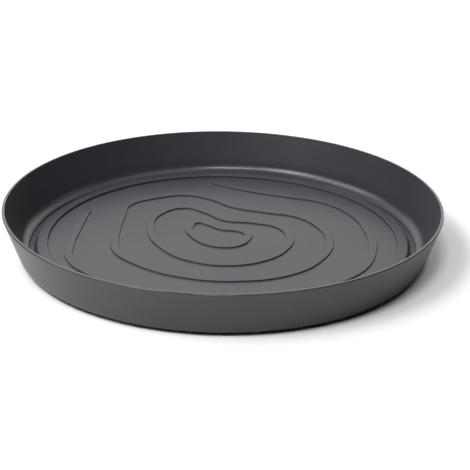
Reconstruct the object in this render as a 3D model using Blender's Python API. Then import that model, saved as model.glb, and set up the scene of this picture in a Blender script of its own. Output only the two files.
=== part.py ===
"""Round plant saucer, moulded in one piece in matt anthracite plastic.

A leaning wall rises from a base that stands on a foot ring. Inside it a ledge, a gutter and a ring ridge
run round a raised floor, and contour ribs on that floor hold the pot clear of the water.
"""
import math

import bmesh
import bpy
from mathutils import Matrix, Vector

# Driving dimensions, in metres
RIM_RADIUS = 0.1753           # outside of the rim, before its edges are rounded
BASE_RADIUS = 0.162           # lower edge of the wall, before it is rounded
HEIGHT = 0.0387               # ground to rim
WALL = 0.0026                 # wall, square to its face
LIP_ROUND = 0.0006            # both edges of the rim
BASE_ROUND = 0.0010           # lower edge of the wall
FOOT_HEIGHT = 0.0030          # ground to the lower edge of the wall
FOOT_INSET = 0.0070           # foot ring, set in from the lower edge of the wall
FOOT_WIDTH = 0.0032           # face that the foot ring stands on
WALL_HOLLOW = 0.0088          # hollow corner between wall and ledge
LEDGE_WIDTH = 0.0055          # ledge, measured from the wall's inner face
LEDGE_STEP = 0.0014           # ledge above the gutter, at the gutter's edge
GUTTER_WIDTH = 0.0038         # bottom of the gutter
GUTTER_THICKNESS = 0.0012     # plastic under the gutter
RIDGE_WIDTH = 0.0085          # top of the ring ridge
RIDGE_HEIGHT = 0.0020         # ring ridge above the floor
FLOOR_LIFT = 0.0021           # underside of the floor above the base
FLOOR_THICKNESS = 0.0020      # floor, and the skin of the hollow ring ridge
RIB_WIDTH = 0.0064            # top of a contour rib
RIB_HEIGHT = 0.0010           # contour rib above the floor
RIB_CHAMFER = 0.0002          # upper edges of a contour rib
RIB_TIP = 0.25                # share of its section that the open rib keeps at its tips
DRAFT = math.radians(15.0)    # lean of the steps that leave the mould
LEDGE_SLOPE = math.radians(7.0)   # rise of the ledge towards the wall
FLANK_DRAFT = math.radians(24.0)  # lean of the ring ridge towards the gutter
RIDGE_DRAFT = math.radians(3.0)   # lean of the ring ridge towards the floor
RIB_DRAFT = math.radians(5.0)     # lean of the contour ribs

# Facets of the solid, and the angle from which an edge between them shows
TURN_STEPS = 96
ARC_STEPS = 5
RIB_STEPS = 4
SHARP_ANGLE = math.radians(30.0)

# Matt anthracite plastic
PLASTIC_COLOUR = (0.0455, 0.047, 0.053, 1.0)
PLASTIC_ROUGHNESS = 0.4

# Middle lines of the contour ribs from the floor's centre, as shares of the ring ridge's inner radius
INNER_RIB = [(0.140, 0.009), (0.141, 0.088), (0.081, 0.137), (0.003, 0.152), (-0.075, 0.219),
             (-0.150, 0.257), (-0.195, 0.165), (-0.163, 0.033), (-0.088, -0.069), (0.003, -0.107),
             (0.081, -0.088)]
SECOND_RIB = [(0.386, 0.050), (0.326, 0.194), (0.188, 0.259), (0.019, 0.294), (-0.094, 0.407),
              (-0.226, 0.489), (-0.382, 0.376), (-0.423, 0.175), (-0.313, -0.169), (-0.150, -0.319),
              (0.038, -0.361), (0.226, -0.294), (0.351, -0.138)]
THIRD_RIB = [(0.613, 0.003), (0.564, 0.207), (0.439, 0.363), (0.282, 0.421), (0.075, 0.501),
             (-0.063, 0.626), (-0.219, 0.698), (-0.401, 0.648), (-0.570, 0.520), (-0.601, 0.313),
             (-0.617, -0.031), (-0.595, -0.194), (-0.464, -0.369), (-0.219, -0.526), (0.075, -0.570),
             (0.363, -0.485), (0.551, -0.263)]
OPEN_RIB = [(-0.804, 0.476), (-0.845, 0.125), (-0.867, -0.125), (-0.852, -0.300), (-0.745, -0.482),
            (-0.570, -0.614), (-0.313, -0.733), (0.000, -0.789), (0.332, -0.733), (0.576, -0.614),
            (0.761, -0.426), (0.846, -0.170), (0.852, 0.081), (0.764, 0.413), (0.607, 0.598),
            (0.385, 0.689), (0.147, 0.783), (-0.091, 0.922)]

# Heights and radii that follow from the driving dimensions
SLANT = math.tan(DRAFT)
LEAN = (RIM_RADIUS - BASE_RADIUS) / (HEIGHT - FOOT_HEIGHT)
LEVEL_WALL = WALL * math.hypot(1, LEAN)
GUTTER_Z = FOOT_HEIGHT + GUTTER_THICKNESS
LEDGE_Z = GUTTER_Z + LEDGE_STEP
UNDER_Z = FOOT_HEIGHT + FLOOR_LIFT
FLOOR_Z = UNDER_Z + FLOOR_THICKNESS
RIDGE_Z = FLOOR_Z + RIDGE_HEIGHT
HOLLOW_Z = RIDGE_Z - FLOOR_THICKNESS
LEDGE_OUTER = BASE_RADIUS + LEAN * (LEDGE_Z - FOOT_HEIGHT) - LEVEL_WALL
LEDGE_INNER = LEDGE_OUTER - LEDGE_WIDTH
LEDGE_RISE = LEDGE_WIDTH / (1 / math.tan(LEDGE_SLOPE) - LEAN)
GUTTER_OUTER = LEDGE_INNER - SLANT * LEDGE_STEP
GUTTER_INNER = GUTTER_OUTER - GUTTER_WIDTH
RIDGE_OUTER = GUTTER_INNER - math.tan(FLANK_DRAFT) * (RIDGE_Z - GUTTER_Z)
RIDGE_INNER = RIDGE_OUTER - RIDGE_WIDTH
FLOOR_RADIUS = RIDGE_INNER - math.tan(RIDGE_DRAFT) * RIDGE_HEIGHT
HOLLOW_OUTER = RIDGE_OUTER - FLOOR_THICKNESS
HOLLOW_INNER = RIDGE_INNER + FLOOR_THICKNESS
FOOT_RADIUS = BASE_RADIUS - FOOT_INSET - SLANT * FOOT_HEIGHT


def rounded(corners):
    """Return an outline's points, with each (point, radius) corner rounded as far as its sides allow."""
    points = [corners[0][0]]
    for before, (corner, radius), after in zip(corners, corners[1:], corners[2:]):
        if radius == 0:
            points.append(corner)
            continue
        back = before[0] - corner
        ahead = after[0] - corner
        half_angle = back.angle(ahead) / 2
        back_room = back.length / 2 if before[1] else back.length
        ahead_room = ahead.length / 2 if after[1] else ahead.length
        reach = min(radius / math.tan(half_angle), back_room, ahead_room)
        bisector = (back.normalized() + ahead.normalized()).normalized()
        centre = corner + bisector * (reach / math.cos(half_angle))
        start = corner + back.normalized() * reach - centre
        end = corner + ahead.normalized() * reach - centre
        clockwise = start.angle_signed(end)
        for step in range(ARC_STEPS + 1):
            points.append(centre + Matrix.Rotation(-clockwise * step / ARC_STEPS, 2) @ start)
    points.append(corners[-1][0])
    return points


def section():
    """Return (radius, height) points from the floor's edge over the wall to the hollow underneath."""
    return rounded([
        (Vector((FLOOR_RADIUS, FLOOR_Z)), 0),
        (Vector((RIDGE_INNER, RIDGE_Z)), 0),
        (Vector((RIDGE_OUTER, RIDGE_Z)), 0),
        (Vector((GUTTER_INNER, GUTTER_Z)), 0),
        (Vector((GUTTER_OUTER, GUTTER_Z)), 0),
        (Vector((LEDGE_INNER, LEDGE_Z)), 0),
        (Vector((LEDGE_OUTER + LEAN * LEDGE_RISE, LEDGE_Z + LEDGE_RISE)), WALL_HOLLOW),
        (Vector((RIM_RADIUS - LEVEL_WALL, HEIGHT)), LIP_ROUND),
        (Vector((RIM_RADIUS, HEIGHT)), LIP_ROUND),
        (Vector((BASE_RADIUS, FOOT_HEIGHT)), BASE_ROUND),
        (Vector((FOOT_RADIUS + SLANT * FOOT_HEIGHT, FOOT_HEIGHT)), 0),
        (Vector((FOOT_RADIUS, 0)), 0),
        (Vector((FOOT_RADIUS - FOOT_WIDTH, 0)), 0),
        (Vector((FOOT_RADIUS - FOOT_WIDTH - SLANT * FOOT_HEIGHT, FOOT_HEIGHT)), 0),
        (Vector((HOLLOW_OUTER + SLANT * (HOLLOW_Z - FOOT_HEIGHT), FOOT_HEIGHT)), 0),
        (Vector((HOLLOW_OUTER, HOLLOW_Z)), 0),
        (Vector((HOLLOW_INNER, HOLLOW_Z)), 0),
        (Vector((HOLLOW_INNER - SLANT * (HOLLOW_Z - UNDER_Z), UNDER_Z)), 0),
    ])


def turned_body():
    """Return the mesh of the saucer without its ribs: the section turned about Z and closed by two discs."""
    body = bmesh.new()
    points = [body.verts.new((radius, 0, height)) for radius, height in section()]
    edges = [body.edges.new(pair) for pair in zip(points, points[1:])]
    bmesh.ops.spin(body, geom=points + edges, cent=(0, 0, 0), axis=(0, 0, 1), angle=math.tau,
                   steps=TURN_STEPS, use_merge=True)
    bmesh.ops.holes_fill(body, edges=[edge for edge in body.edges if edge.is_boundary])
    bmesh.ops.recalc_face_normals(body, faces=body.faces)
    mesh = bpy.data.meshes.new("saucer")
    body.to_mesh(mesh)
    body.free()
    return mesh


def rib_section():
    """Return the outline that the ribs are swept from: a bead with leaning flanks, rooted in the floor."""
    root = -FLOOR_THICKNESS / 2
    half_top = RIB_WIDTH / 2
    half_root = half_top + math.tan(RIB_DRAFT) * (RIB_HEIGHT - root)
    half_shoulder = half_top + math.tan(RIB_DRAFT) * RIB_CHAMFER
    left_side = [
        (-half_root, root),
        (-half_shoulder, RIB_HEIGHT - RIB_CHAMFER),
        (RIB_CHAMFER - half_top, RIB_HEIGHT),
    ]
    outline = left_side + [(-across, up) for across, up in reversed(left_side)]
    curve = bpy.data.curves.new("rib_section", "CURVE")
    spline = curve.splines.new("POLY")
    spline.points.add(len(outline) - 1)
    spline.use_cyclic_u = True
    for point, (across, up) in zip(spline.points, outline):
        point.co = (across, up, 0, 1)
    return guide("rib_section", curve)


def rib_body(name, path, bead, closed):
    """Return a rib as a solid: the bead swept along a smooth line on the floor, with thin tips if open."""
    curve = bpy.data.curves.new(name, "CURVE")
    curve.dimensions = "3D"
    curve.twist_mode = "Z_UP"
    curve.resolution_u = RIB_STEPS
    curve.bevel_mode = "OBJECT"
    curve.bevel_object = bead
    curve.use_fill_caps = True
    spline = curve.splines.new("BEZIER")
    spline.bezier_points.add(len(path) - 1)
    spline.use_cyclic_u = closed
    for knot, (x, y) in zip(spline.bezier_points, path):
        knot.co = (RIDGE_INNER * x, RIDGE_INNER * y, FLOOR_Z)
        knot.handle_left_type = "AUTO"
        knot.handle_right_type = "AUTO"
    if not closed:
        spline.bezier_points[0].radius = RIB_TIP
        spline.bezier_points[-1].radius = RIB_TIP
    swept = guide(name + "_line", curve)
    mesh = bpy.data.meshes.new_from_object(swept.evaluated_get(bpy.context.evaluated_depsgraph_get()))
    solid = bmesh.new()
    solid.from_mesh(mesh)
    bmesh.ops.recalc_face_normals(solid, faces=solid.faces)
    solid.to_mesh(mesh)
    solid.free()
    return guide(name, mesh)


def guide(name, data):
    """Return a construction object, which shapes the saucer and isn't part of it."""
    shape = bpy.data.objects.new(name, data)
    shape.hide_render = True
    shape.display_type = "WIRE"
    bpy.context.collection.objects.link(shape)
    bpy.context.view_layer.update()
    return shape


def anthracite_plastic():
    """Return the saucer's material: dark grey moulded plastic with a fine matt surface."""
    material = bpy.data.materials.new("anthracite_plastic")
    material.use_nodes = True
    shader = material.node_tree.nodes["Principled BSDF"]
    shader.inputs["Base Color"].default_value = PLASTIC_COLOUR
    shader.inputs["Roughness"].default_value = PLASTIC_ROUGHNESS
    shader.inputs["Metallic"].default_value = 0
    return material


for leftover in list(bpy.data.objects):
    bpy.data.objects.remove(leftover)

saucer = bpy.data.objects.new("saucer", turned_body())
saucer.data.materials.append(anthracite_plastic())
bpy.context.collection.objects.link(saucer)

rib_bead = rib_section()
ribs = [
    rib_body("inner_rib", INNER_RIB, rib_bead, True),
    rib_body("second_rib", SECOND_RIB, rib_bead, True),
    rib_body("third_rib", THIRD_RIB, rib_bead, True),
    rib_body("open_rib", OPEN_RIB, rib_bead, False),
]
for rib in ribs:
    union = saucer.modifiers.new(rib.name, "BOOLEAN")
    union.operation = "UNION"
    union.object = rib

saucer.data.shade_smooth()
saucer.data.set_sharp_from_angle(angle=SHARP_ANGLE)
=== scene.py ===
import math

import bmesh
import bpy
from mathutils import Matrix, Vector


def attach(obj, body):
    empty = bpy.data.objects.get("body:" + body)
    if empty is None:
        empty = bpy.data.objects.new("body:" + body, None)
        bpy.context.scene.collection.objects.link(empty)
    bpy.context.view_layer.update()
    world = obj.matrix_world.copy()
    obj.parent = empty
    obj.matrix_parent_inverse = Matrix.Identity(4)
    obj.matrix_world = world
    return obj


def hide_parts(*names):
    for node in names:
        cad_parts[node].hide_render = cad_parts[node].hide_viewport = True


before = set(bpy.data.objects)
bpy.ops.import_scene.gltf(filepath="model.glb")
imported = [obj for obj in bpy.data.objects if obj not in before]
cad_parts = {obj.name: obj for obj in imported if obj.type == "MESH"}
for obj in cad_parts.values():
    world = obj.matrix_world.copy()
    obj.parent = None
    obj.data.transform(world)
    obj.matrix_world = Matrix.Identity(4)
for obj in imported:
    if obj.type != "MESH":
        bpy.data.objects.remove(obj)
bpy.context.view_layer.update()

# The saucer's section. A leaning wall stands on a foot ring, and a ledge, a gutter and a ring ridge run
# round inside it. It is one injection moulding, so every edge carries the small round that a mould leaves.
RIM_RADIUS = 0.1753
BASE_RADIUS = 0.162
FOOT_HEIGHT = 0.0030
FOOT_INSET = 0.0070
HEIGHT = 0.0387
WALL = 0.0026
LIP_ROUND = 0.0004
LIP_OUTER_ROUND = 0.0010
BASE_ROUND = 0.0010
FOOT_ROUND = 0.0006
FOOT_WIDTH = 0.0032
WALL_HOLLOW = 0.0088
LEDGE_WIDTH = 0.0055
LEDGE_STEP = 0.0017
LEDGE_ROUND = 0.0007
GUTTER_WIDTH = 0.0038
GUTTER_THICKNESS = 0.0009
RIDGE_WIDTH = 0.0084
RIDGE_HEIGHT = 0.0020
RIDGE_FALL = 0.0006
FLOOR_LIFT = 0.0021
FLOOR_THICKNESS = 0.0020
FLAT_MARGIN = 0.0006
RIDGE_ROUND = 0.0006
RIDGE_EDGE = 0.0010
STEP_ROUND = 0.0001
UNDER_ROUND = 0.0005
DRAFT = math.tan(math.radians(15.0))
RIDGE_DRAFT = math.tan(math.radians(2.0))
FLANK_DRAFT = math.tan(math.radians(26.0))
LEDGE_SLOPE = math.tan(math.radians(7.0))

LEAN = (RIM_RADIUS - BASE_RADIUS) / (HEIGHT - FOOT_HEIGHT)
LEVEL_WALL = WALL * math.hypot(1, LEAN)
GUTTER_Z = FOOT_HEIGHT + GUTTER_THICKNESS
LEDGE_Z = GUTTER_Z + LEDGE_STEP
UNDER_Z = FOOT_HEIGHT + FLOOR_LIFT
FLOOR_Z = UNDER_Z + FLOOR_THICKNESS
RIDGE_Z = FLOOR_Z + RIDGE_HEIGHT
HOLLOW_Z = RIDGE_Z - FLOOR_THICKNESS
LEDGE_OUTER = BASE_RADIUS + LEAN * (LEDGE_Z - FOOT_HEIGHT) - LEVEL_WALL
LEDGE_INNER = LEDGE_OUTER - LEDGE_WIDTH
LEDGE_RISE = LEDGE_SLOPE * LEDGE_WIDTH / (1 - LEDGE_SLOPE * LEAN)
GUTTER_OUTER = LEDGE_INNER - DRAFT * LEDGE_STEP
GUTTER_INNER = GUTTER_OUTER - GUTTER_WIDTH
RIDGE_OUTER = GUTTER_INNER - FLANK_DRAFT * (RIDGE_Z - RIDGE_FALL - GUTTER_Z)
RIDGE_INNER = RIDGE_OUTER - RIDGE_WIDTH
FLOOR_RADIUS = RIDGE_INNER - RIDGE_DRAFT * RIDGE_HEIGHT
HOLLOW_OUTER = RIDGE_OUTER - FLOOR_THICKNESS
HOLLOW_INNER = RIDGE_INNER + FLOOR_THICKNESS
UNDER_RADIUS = HOLLOW_INNER - DRAFT * (HOLLOW_Z - UNDER_Z)
FOOT_RADIUS = BASE_RADIUS - FOOT_INSET - DRAFT * FOOT_HEIGHT

SECTION = [
    (FLOOR_RADIUS - FLAT_MARGIN, FLOOR_Z, 0),
    (FLOOR_RADIUS, FLOOR_Z, STEP_ROUND),
    (RIDGE_INNER, RIDGE_Z, RIDGE_ROUND),
    (RIDGE_OUTER, RIDGE_Z - RIDGE_FALL, RIDGE_EDGE),
    (GUTTER_INNER, GUTTER_Z, STEP_ROUND),
    (GUTTER_OUTER, GUTTER_Z, STEP_ROUND),
    (LEDGE_INNER, LEDGE_Z, LEDGE_ROUND),
    (LEDGE_OUTER + LEAN * LEDGE_RISE, LEDGE_Z + LEDGE_RISE, WALL_HOLLOW),
    (RIM_RADIUS - LEVEL_WALL, HEIGHT, LIP_ROUND),
    (RIM_RADIUS, HEIGHT, LIP_OUTER_ROUND),
    (BASE_RADIUS, FOOT_HEIGHT, BASE_ROUND),
    (FOOT_RADIUS + DRAFT * FOOT_HEIGHT, FOOT_HEIGHT, FOOT_ROUND),
    (FOOT_RADIUS, 0, FOOT_ROUND),
    (FOOT_RADIUS - FOOT_WIDTH, 0, FOOT_ROUND),
    (FOOT_RADIUS - FOOT_WIDTH - DRAFT * FOOT_HEIGHT, FOOT_HEIGHT, FOOT_ROUND),
    (HOLLOW_OUTER + DRAFT * (HOLLOW_Z - RIDGE_FALL - FOOT_HEIGHT), FOOT_HEIGHT, UNDER_ROUND),
    (HOLLOW_OUTER, HOLLOW_Z - RIDGE_FALL, UNDER_ROUND),
    (HOLLOW_INNER, HOLLOW_Z, UNDER_ROUND),
    (UNDER_RADIUS, UNDER_Z, UNDER_ROUND),
    (UNDER_RADIUS - FLAT_MARGIN, UNDER_Z, 0),
]
ARC_ANGLE = math.radians(16.0)
FLAT_SUPPORT = 0.00008


def softened(corners):
    """Return an outline's points with rounded corners, and a point beside each arc to keep the flats flat."""
    places = [Vector(corner[:2]) for corner in corners]
    ways = [(after - before).normalized() for before, after in zip(places, places[1:])]
    reaches = [0]
    for (x, z, radius), before, after in zip(corners[1:], ways, ways[1:]):
        reaches.append(radius * math.tan(before.angle(after) / 2))
    points = [places[0]]
    for place, before, after, reach in zip(places[1:], ways, ways[1:], reaches[1:]):
        turn = -before.angle_signed(after)
        start = place - before * reach
        centre = start + before.orthogonal() * (reach / math.tan(turn / 2))
        steps = max(3, math.ceil(abs(turn) / ARC_ANGLE))
        points.append(start - before * FLAT_SUPPORT)
        for step in range(steps + 1):
            points.append(centre + Matrix.Rotation(turn * step / steps, 2) @ (start - centre))
        points.append(place + after * (reach + FLAT_SUPPORT))
    points.append(places[-1])
    return points


def profile(name, points):
    """Return a guide object that a sweep reads: the points joined by edges, with their height turned down."""
    mesh = bpy.data.meshes.new(name)
    mesh.from_pydata([(across, -up, 0) for across, up in points],
                     [(index, index + 1) for index in range(len(points) - 1)], [])
    guide = bpy.data.objects.new(name, mesh)
    bpy.context.scene.collection.objects.link(guide)
    return guide


section = profile("section", [point - Vector((RIM_RADIUS, 0)) for point in softened(SECTION)])

# The contour ribs, moulded with the floor. They are flat beads with leaning flanks, three of them closed
# loops round one another and one open, whose ends run out into the floor. They hold a pot out of the water.
RIB_WIDTH = 0.0064
RIB_HEIGHT = 0.0011
RIB_SHOULDER = 0.0003
RIB_FOOT = 0.0001
RIB_DRAFT = math.tan(math.radians(4.0))
RIB_MARGIN = 0.0009
RIB_STEP = 0.0014
RIB_TIP_LENGTH = 0.010
INNER_RIB = [(0.140, 0.009), (0.141, 0.088), (0.081, 0.137), (0.003, 0.152), (-0.075, 0.219),
             (-0.150, 0.257), (-0.195, 0.165), (-0.163, 0.033), (-0.088, -0.069), (0.003, -0.107),
             (0.081, -0.088)]
SECOND_RIB = [(0.386, 0.050), (0.326, 0.194), (0.188, 0.259), (0.019, 0.294), (-0.094, 0.407),
              (-0.226, 0.489), (-0.382, 0.376), (-0.423, 0.175), (-0.313, -0.169), (-0.150, -0.319),
              (0.038, -0.361), (0.226, -0.294), (0.351, -0.138)]
THIRD_RIB = [(0.613, 0.003), (0.564, 0.207), (0.439, 0.363), (0.282, 0.421), (0.075, 0.501),
             (-0.063, 0.626), (-0.219, 0.698), (-0.401, 0.648), (-0.570, 0.520), (-0.601, 0.313),
             (-0.617, -0.031), (-0.595, -0.194), (-0.464, -0.369), (-0.219, -0.526), (0.075, -0.570),
             (0.363, -0.485), (0.551, -0.263)]
OPEN_RIB = [(-0.804, 0.476), (-0.845, 0.125), (-0.867, -0.125), (-0.852, -0.300), (-0.745, -0.482),
            (-0.570, -0.614), (-0.313, -0.733), (0.000, -0.789), (0.332, -0.733), (0.576, -0.614),
            (0.761, -0.426), (0.846, -0.170), (0.852, 0.081), (0.764, 0.413), (0.607, 0.598),
            (0.385, 0.689), (0.147, 0.783), (-0.091, 0.922)]

half_top = RIB_WIDTH / 2
half_root = half_top + RIB_DRAFT * RIB_HEIGHT
bead = profile("bead", softened([
    (-half_root - RIB_MARGIN, 0, 0),
    (-half_root, 0, RIB_FOOT),
    (-half_top, RIB_HEIGHT, RIB_SHOULDER),
    (half_top, RIB_HEIGHT, RIB_SHOULDER),
    (half_root, 0, RIB_FOOT),
    (half_root + RIB_MARGIN, 0, 0),
]))

lines = bpy.data.curves.new("rib_lines", "CURVE")
lines.dimensions = "3D"
lines.resolution_u = 48
for path, closed in ((INNER_RIB, True), (SECOND_RIB, True), (THIRD_RIB, True), (OPEN_RIB, False)):
    spline = lines.splines.new("BEZIER")
    spline.bezier_points.add(len(path) - 1)
    spline.use_cyclic_u = closed
    for knot, (x, y) in zip(spline.bezier_points, path):
        knot.co = (RIDGE_INNER * x, RIDGE_INNER * y, 0)
        knot.handle_left_type = "AUTO"
        knot.handle_right_type = "AUTO"
rib_lines = bpy.data.objects.new("rib_lines", lines)
bpy.context.scene.collection.objects.link(rib_lines)
bpy.context.view_layer.update()

# The plastic is matt anthracite polypropylene, coloured right through. The mould's eroded faces leave a fine
# matt grain, and its polished ones the smoother rim and hollow. The melt's flow clouds the colour faintly.
PLASTIC_DARK = (0.0415, 0.0441, 0.0510, 1.0)
PLASTIC_LIGHT = (0.0470, 0.0499, 0.0572, 1.0)
CLOUD_SCALE = 9.0
CLOUD_DETAIL = 2.0
MOTTLE_SCALE = 70.0
MOTTLE_DETAIL = 3.0
MOTTLE_SHARE = 0.4
SHADE_SPREAD = (0.35, 0.65)
MATT_ROUGHNESS = 0.42
HOLLOW_ROUGHNESS = 0.27
HOLLOW_RADIUS = 0.1590
HOLLOW_SPREAD = (0.0030, 0.0060)
RIM_ROUGHNESS = 0.16
RIM_SPREAD = (0.0012, 0.0003)
CLOUD_ROUGHNESS = 0.06
GRAIN_SCALE = 2600.0
GRAIN_DETAIL = 1.0
GRAIN_STRENGTH = 0.15
GRAIN_DEPTH = 0.00002


def put(tree, kind, inputs=None, **settings):
    """Add a node to a tree, with its settings made and its inputs linked or given a value."""
    made = tree.nodes.new(kind)
    for name, value in settings.items():
        setattr(made, name, value)
    for name, value in (inputs or {}).items():
        if isinstance(value, bpy.types.NodeSocket):
            tree.links.new(value, made.inputs[name])
        else:
            made.inputs[name].default_value = value
    return made


plastic = bpy.data.materials.new("anthracite_plastic")
plastic.use_nodes = True
dye = plastic.node_tree
spot = put(dye, "ShaderNodeTexCoord").outputs["Object"]
clouds, mottle, grain = (
    put(dye, "ShaderNodeTexNoise", {"Vector": spot, "Scale": scale, "Detail": detail}).outputs["Fac"]
    for scale, detail in ((CLOUD_SCALE, CLOUD_DETAIL), (MOTTLE_SCALE, MOTTLE_DETAIL),
                          (GRAIN_SCALE, GRAIN_DETAIL))
)
flow = put(dye, "ShaderNodeMix", {"Factor": MOTTLE_SHARE, "A": clouds, "B": mottle})
shade = put(dye, "ShaderNodeMapRange", {"Value": flow.outputs["Result"], "From Min": SHADE_SPREAD[0],
                                        "From Max": SHADE_SPREAD[1]})
colour = put(dye, "ShaderNodeMix", {0: shade.outputs["Result"], 6: PLASTIC_DARK, 7: PLASTIC_LIGHT},
             data_type="RGBA")
level_spot = put(dye, "ShaderNodeVectorMath", {0: spot, 1: (1, 1, 0)}, operation="MULTIPLY")
reach = put(dye, "ShaderNodeVectorMath", {0: level_spot.outputs["Vector"]}, operation="LENGTH")
aside = put(dye, "ShaderNodeMath", {0: reach.outputs["Value"], 1: HOLLOW_RADIUS}, operation="SUBTRACT")
aside = put(dye, "ShaderNodeMath", {0: aside.outputs["Value"]}, operation="ABSOLUTE")
face = put(dye, "ShaderNodeMapRange", {"Value": aside.outputs["Value"], "From Min": HOLLOW_SPREAD[0],
                                       "From Max": HOLLOW_SPREAD[1], "To Min": HOLLOW_ROUGHNESS,
                                       "To Max": MATT_ROUGHNESS}, interpolation_type="SMOOTHSTEP")
spot_height = put(dye, "ShaderNodeSeparateXYZ", {"Vector": spot}).outputs["Z"]
rim = put(dye, "ShaderNodeMapRange", {"Value": spot_height, "From Min": HEIGHT - RIM_SPREAD[0],
                                      "From Max": HEIGHT - RIM_SPREAD[1], "To Min": MATT_ROUGHNESS,
                                      "To Max": RIM_ROUGHNESS})
smooth_faces = put(dye, "ShaderNodeMath", {0: face.outputs["Result"], 1: rim.outputs["Result"]},
                   operation="MINIMUM")
patches = put(dye, "ShaderNodeMapRange", {"Value": clouds, "To Min": -CLOUD_ROUGHNESS,
                                          "To Max": CLOUD_ROUGHNESS})
roughness = put(dye, "ShaderNodeMath", {0: smooth_faces.outputs["Value"], 1: patches.outputs["Result"]})
relief = put(dye, "ShaderNodeBump", {"Height": grain, "Strength": GRAIN_STRENGTH, "Distance": GRAIN_DEPTH})
plastic_shader = dye.nodes["Principled BSDF"]
dye.links.new(colour.outputs[2], plastic_shader.inputs["Base Color"])
dye.links.new(roughness.outputs["Value"], plastic_shader.inputs["Roughness"])
dye.links.new(relief.outputs["Normal"], plastic_shader.inputs["Normal"])

# The moulding itself. The section is turned about the saucer's axis and the bead swept along the rib lines,
# and the floor is filled in between the ribs, so that the plastic is one closed skin without a joint.
TURN_STEPS = 320
WELD = 0.00001

form = bpy.data.node_groups.new("saucer_form", "GeometryNodeTree")
sizes = {
    "Section": ("NodeSocketObject", section),
    "Bead": ("NodeSocketObject", bead),
    "Plastic": ("NodeSocketMaterial", plastic),
    "Turn Steps": ("NodeSocketInt", TURN_STEPS),
    "Rim Radius": ("NodeSocketFloat", RIM_RADIUS),
    "Floor Radius": ("NodeSocketFloat", FLOOR_RADIUS - FLAT_MARGIN),
    "Floor Height": ("NodeSocketFloat", FLOOR_Z),
    "Under Radius": ("NodeSocketFloat", UNDER_RADIUS - FLAT_MARGIN),
    "Under Height": ("NodeSocketFloat", UNDER_Z),
    "Rib Step": ("NodeSocketFloat", RIB_STEP),
    "Rib Tip Length": ("NodeSocketFloat", RIB_TIP_LENGTH),
    "Weld": ("NodeSocketFloat", WELD),
}
form.interface.new_socket("Rib Lines", in_out="INPUT", socket_type="NodeSocketGeometry")
for name, (socket_type, value) in sizes.items():
    form.interface.new_socket(name, in_out="INPUT", socket_type=socket_type)
form.interface.new_socket("Saucer", in_out="OUTPUT", socket_type="NodeSocketGeometry")
given = form.nodes.new("NodeGroupInput").outputs


def level_circle(radius):
    """Return a circle of the given radius about the saucer's axis, in the tree, with the turn's steps."""
    made = put(form, "GeometryNodeCurvePrimitiveCircle",
               {"Resolution": given["Turn Steps"], "Radius": given[radius]})
    return made.outputs["Curve"]


def swept(line, shape, scale):
    """Return the tree's mesh of a profile object swept along a level line, upright all the way."""
    drawn = put(form, "GeometryNodeObjectInfo", {"Object": given[shape]})
    outline = put(form, "GeometryNodeMeshToCurve", {"Mesh": drawn.outputs["Geometry"]})
    upright = put(form, "GeometryNodeSetCurveNormal", {"Curve": line}, mode="Z_UP")
    sweep = put(form, "GeometryNodeCurveToMesh", {"Curve": upright.outputs["Curve"],
                                                  "Profile Curve": outline.outputs["Curve"],
                                                  "Scale": scale})
    return sweep.outputs["Mesh"]


def lifted(shape, height):
    """Return the tree's shape raised to a height."""
    offset = put(form, "ShaderNodeCombineXYZ", {"Z": given[height]})
    raised = put(form, "GeometryNodeTransform", {"Geometry": shape, "Translation": offset.outputs["Vector"]})
    return raised.outputs["Geometry"]


turned = swept(level_circle("Rim Radius"), "Section", 1.0)

stepped = put(form, "GeometryNodeResampleCurve", {"Curve": given["Rib Lines"], "Length": given["Rib Step"]},
              mode="LENGTH")
along = put(form, "GeometryNodeSplineParameter").outputs["Length"]
whole = put(form, "GeometryNodeSplineLength").outputs["Length"]
left_over = put(form, "ShaderNodeMath", operation="SUBTRACT")
form.links.new(whole, left_over.inputs[0])
form.links.new(along, left_over.inputs[1])
to_tip = put(form, "ShaderNodeMath", operation="MINIMUM")
form.links.new(along, to_tip.inputs[0])
form.links.new(left_over.outputs["Value"], to_tip.inputs[1])
tip = put(form, "ShaderNodeMapRange", {"Value": to_tip.outputs["Value"], "From Max": given["Rib Tip Length"]},
          interpolation_type="SMOOTHERSTEP")
closed_line = put(form, "GeometryNodeInputSplineCyclic").outputs["Cyclic"]
rib_scale = put(form, "GeometryNodeSwitch", {"Switch": closed_line, "False": tip.outputs["Result"],
                                             "True": 1.0}, input_type="FLOAT")
rib_sweep = swept(stepped.outputs["Curve"], "Bead", rib_scale.outputs["Output"])
ribs = put(form, "GeometryNodeMergeByDistance", {"Geometry": rib_sweep, "Distance": given["Weld"]})
ribs = ribs.outputs["Geometry"]

neighbours = put(form, "GeometryNodeInputMeshEdgeNeighbors").outputs["Face Count"]
on_edge = put(form, "FunctionNodeCompare", data_type="INT", operation="EQUAL")
form.links.new(neighbours, on_edge.inputs[2])
on_edge.inputs[3].default_value = 1
rib_edges = put(form, "GeometryNodeMeshToCurve", {"Mesh": ribs, "Selection": on_edge.outputs["Result"]})
floor_outline = put(form, "GeometryNodeJoinGeometry")
form.links.new(rib_edges.outputs["Curve"], floor_outline.inputs["Geometry"])
form.links.new(level_circle("Floor Radius"), floor_outline.inputs["Geometry"])
floor_sheet = put(form, "GeometryNodeFillCurve", {"Curve": floor_outline.outputs["Geometry"]},
                  mode="TRIANGLES")
under_sheet = put(form, "GeometryNodeFillCurve", {"Curve": level_circle("Under Radius")}, mode="TRIANGLES")

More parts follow.
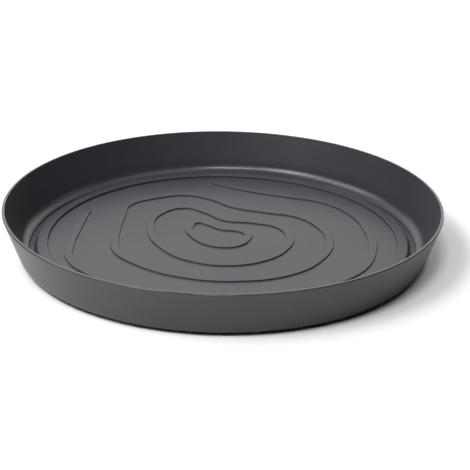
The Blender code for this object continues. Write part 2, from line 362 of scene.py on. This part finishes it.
skin = put(form, "GeometryNodeJoinGeometry")
for shape in (turned, lifted(ribs, "Floor Height"), lifted(floor_sheet.outputs["Mesh"], "Floor Height"),
              lifted(under_sheet.outputs["Mesh"], "Under Height")):
    form.links.new(shape, skin.inputs["Geometry"])
welded = put(form, "GeometryNodeMergeByDistance", {"Geometry": skin.outputs["Geometry"],
                                                   "Distance": given["Weld"]})
smooth = put(form, "GeometryNodeSetShadeSmooth", {"Geometry": welded.outputs["Geometry"]})
realized = put(form, "GeometryNodeRealizeInstances", {"Geometry": smooth.outputs["Geometry"]})
finished = put(form, "GeometryNodeSetMaterial", {"Geometry": realized.outputs["Geometry"],
                                                 "Material": given["Plastic"]})
put(form, "NodeGroupOutput", {"Saucer": finished.outputs["Geometry"]})

moulded = rib_lines.modifiers.new("saucer_form", "NODES")
moulded.node_group = form
for socket in form.interface.items_tree:
    if socket.in_out == "INPUT" and socket.name in sizes:
        moulded[socket.identifier] = sizes[socket.name][1]
bpy.context.view_layer.update()
skin_mesh = bpy.data.meshes.new_from_object(rib_lines.evaluated_get(bpy.context.evaluated_depsgraph_get()))
for guide in (rib_lines, section, bead):
    bpy.data.objects.remove(guide)

skin_form = bmesh.new()
skin_form.from_mesh(skin_mesh)
bmesh.ops.recalc_face_normals(skin_form, faces=skin_form.faces)
skin_form.to_mesh(skin_mesh)
skin_form.free()
skin_mesh.name = "saucer_moulding"
saucer_moulding = bpy.data.objects.new("saucer_moulding", skin_mesh)
bpy.context.scene.collection.objects.link(saucer_moulding)
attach(saucer_moulding, "root")
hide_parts("saucer")

# The ground is a sheet of white paper. The camera and reflections see it a little overexposed, and it fades
# into the white background. Only the saucer's shadow shows on it. Outside the foot the camera sees painted
# light on the paper, an even glow that lifts that shadow, while the shade under the foot is left dark.
GROUND_HALF = 20.0
PAPER_SEEN = (1.04, 1.04, 1.04, 1.0)
PAPER_LIGHT = (0.95, 0.95, 0.95, 1.0)
PAINTED_LIFT_STRENGTH = 0.12
PAINTED_LIFT_RADII = (0.1600, 0.1665)
FADE_RADII = (0.4, 0.9)

ground_mesh = bpy.data.meshes.new("ground")
ground_mesh.from_pydata([(-GROUND_HALF, -GROUND_HALF, 0), (GROUND_HALF, -GROUND_HALF, 0),
                         (GROUND_HALF, GROUND_HALF, 0), (-GROUND_HALF, GROUND_HALF, 0)], [], [(0, 1, 2, 3)])
ground = bpy.data.objects.new("ground", ground_mesh)
bpy.context.scene.collection.objects.link(ground)
paper = bpy.data.materials.new("white_paper")
paper.use_nodes = True
sheet = paper.node_tree
sheet.nodes.clear()
ray = put(sheet, "ShaderNodeLightPath").outputs
mirrored = put(sheet, "ShaderNodeMath", {0: ray["Is Glossy Ray"], 1: ray["Is Transmission Ray"]},
               operation="MAXIMUM")
shown = put(sheet, "ShaderNodeMath", {0: ray["Is Camera Ray"], 1: mirrored.outputs["Value"]},
            operation="MAXIMUM")
paper_colour = put(sheet, "ShaderNodeMix", {0: shown.outputs["Value"], 6: PAPER_LIGHT, 7: PAPER_SEEN},
                   data_type="RGBA")
paper_shader = put(sheet, "ShaderNodeBsdfDiffuse", {"Color": paper_colour.outputs[2]})
paper_spot = put(sheet, "ShaderNodeTexCoord").outputs["Object"]
paper_reach = put(sheet, "ShaderNodeVectorMath", {0: paper_spot}, operation="LENGTH")
# Painted light: a glow on the paper outside the foot, seen by the camera only, lightens the saucer's shadow
# there.
painted_shadow_lift = put(sheet, "ShaderNodeMapRange", {"Value": paper_reach.outputs["Value"], "From Min": PAINTED_LIFT_RADII[0],
                                         "From Max": PAINTED_LIFT_RADII[1], "To Max": PAINTED_LIFT_STRENGTH},
           interpolation_type="SMOOTHSTEP")
shown_shadow_lift = put(sheet, "ShaderNodeMath", {0: painted_shadow_lift.outputs["Result"], 1: ray["Is Camera Ray"]},
                 operation="MULTIPLY")
fade = put(sheet, "ShaderNodeMapRange", {"Value": paper_reach.outputs["Value"], "From Min": FADE_RADII[0],
                                         "From Max": FADE_RADII[1]}, interpolation_type="SMOOTHSTEP")
shown_fade = put(sheet, "ShaderNodeMath", {0: fade.outputs["Result"], 1: shown.outputs["Value"]},
                 operation="MULTIPLY")
lift = put(sheet, "ShaderNodeMath", {0: shown_shadow_lift.outputs["Value"], 1: shown_fade.outputs["Value"]},
           operation="MAXIMUM")
glow = put(sheet, "ShaderNodeEmission", {"Strength": lift.outputs["Value"]})
paper_sum = put(sheet, "ShaderNodeAddShader", {0: paper_shader.outputs["BSDF"], 1: glow.outputs["Emission"]})
put(sheet, "ShaderNodeOutputMaterial", {"Surface": paper_sum.outputs["Shader"]})
ground_mesh.materials.append(paper)

# Soft studio light. White sheets hang on the left, overhead and behind, with small lamps high at the front.
# Each has its azimuth and elevation in degrees, its width and height in metres and its radiance.
SOFTBOXES = {
    "left_sheet": (193.0, 54.0, 2.4, 1.1, 3.0),
    "key": (218.0, 53.0, 0.6, 0.4, 13.5),
    "front_high": (266.0, 65.0, 0.5, 0.3, 24.0),
    "front_fill": (250.0, 40.0, 1.0, 0.5, 0.35),
    "left_back": (157.0, 47.0, 1.3, 0.9, 1.05),
    "top": (0.0, 72.0, 1.6, 1.0, 0.9),
    "back_wall": (97.0, 38.0, 2.2, 1.4, 0.63),
    "right_back": (35.0, 40.0, 1.0, 0.8, 0.3),
}
SOFTBOX_DISTANCE = 2.0

for name, (azimuth, elevation, width, height, radiance) in SOFTBOXES.items():
    lamp = bpy.data.lights.new(name, "AREA")
    lamp.shape = "RECTANGLE"
    lamp.size = width
    lamp.size_y = height
    lamp.energy = math.pi * width * height * radiance
    softbox = bpy.data.objects.new(name, lamp)
    turn = Matrix.Rotation(math.radians(azimuth), 4, "Z") @ Matrix.Rotation(-math.radians(elevation), 4, "Y")
    outward = turn.to_3x3() @ Vector((1, 0, 0))
    facing = outward.to_track_quat("Z", "Y").to_matrix().to_4x4()
    softbox.matrix_world = Matrix.Translation(outward * SOFTBOX_DISTANCE) @ facing
    softbox.visible_camera = False
    bpy.context.scene.collection.objects.link(softbox)

# The background is plain white to the camera. Reflections show it too, but only where it stands behind the
# saucer, since the front of the studio is dark. It lights nothing.
BACKDROP_SPREAD = (0.60, 0.90)

studio = bpy.data.worlds.new("studio")
studio.use_nodes = True
air = studio.node_tree
ray = put(air, "ShaderNodeLightPath").outputs
way = put(air, "ShaderNodeSeparateXYZ", {"Vector": put(air, "ShaderNodeTexCoord").outputs["Generated"]})
backdrop = put(air, "ShaderNodeMapRange", {"Value": way.outputs["Y"], "From Min": BACKDROP_SPREAD[0],
                                           "From Max": BACKDROP_SPREAD[1]}, interpolation_type="SMOOTHSTEP")
mirrored = put(air, "ShaderNodeMath", {0: ray["Is Glossy Ray"], 1: ray["Is Transmission Ray"]},
               operation="MAXIMUM")
mirrored = put(air, "ShaderNodeMath", {0: mirrored.outputs["Value"], 1: backdrop.outputs["Result"]},
               operation="MULTIPLY")
shown = put(air, "ShaderNodeMath", {0: ray["Is Camera Ray"], 1: mirrored.outputs["Value"]},
            operation="MAXIMUM")
background = air.nodes["Background"]
background.inputs["Color"].default_value = (1, 1, 1, 1)
air.links.new(shown.outputs["Value"], background.inputs["Strength"])
bpy.context.scene.world = studio

# The camera stands well back in front of the saucer and looks down on it a little.
CAMERA_PLACE = (0.0, -1.2080, 0.5168)
CAMERA_YAW = 0.00815
CAMERA_PITCH = 0.39656
CAMERA_ROLL = 0.0137
CAMERA_LENS = 125.01
CAMERA_SENSOR = 36.0

camera_data = bpy.data.cameras.new("camera")
camera_data.sensor_width = CAMERA_SENSOR
camera_data.sensor_fit = "HORIZONTAL"
camera_data.lens = CAMERA_LENS
camera = bpy.data.objects.new("camera", camera_data)
camera.matrix_world = (Matrix.Translation(CAMERA_PLACE) @ Matrix.Rotation(-CAMERA_YAW, 4, "Z")
                       @ Matrix.Rotation(math.pi / 2 - CAMERA_PITCH, 4, "X")
                       @ Matrix.Rotation(CAMERA_ROLL, 4, "Z"))
bpy.context.scene.collection.objects.link(camera)
bpy.context.scene.camera = camera
bpy.context.scene.view_settings.view_transform = "Standard"
